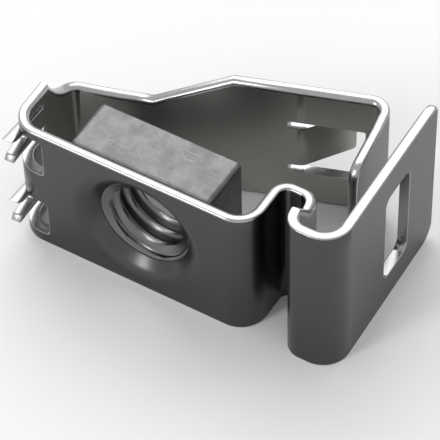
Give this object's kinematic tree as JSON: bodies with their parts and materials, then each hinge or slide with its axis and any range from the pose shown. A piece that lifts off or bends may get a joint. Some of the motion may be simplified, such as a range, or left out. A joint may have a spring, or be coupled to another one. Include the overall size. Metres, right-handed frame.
{
  "type": "rack cage nut",
  "caption": "Square M6 nut held in a folded spring steel cage, with contact claws, a spring loop and a finger wing, for fixing gear to square-holed rack rails.",
  "frame": {"origin": "middle of the nut's thread, on its axis", "axes": "+X along the cage's front wall, from the claws to the finger wing; +Y along the thread, from the front wall into the cage; +Z across the folded strip, up as the part lies on its lower edge"},
  "size_m": [0.0233, 0.0155, 0.012],
  "materials": {
    "cage_steel": "smooth plated spring steel, satin faces with bright sheared edges",
    "nut_steel": "zinc plated steel, lightly scratched"
  },
  "bodies": {
    "root": {"cage": "cage_steel", "square_nut": "nut_steel"}
  },
  "joints": []
}
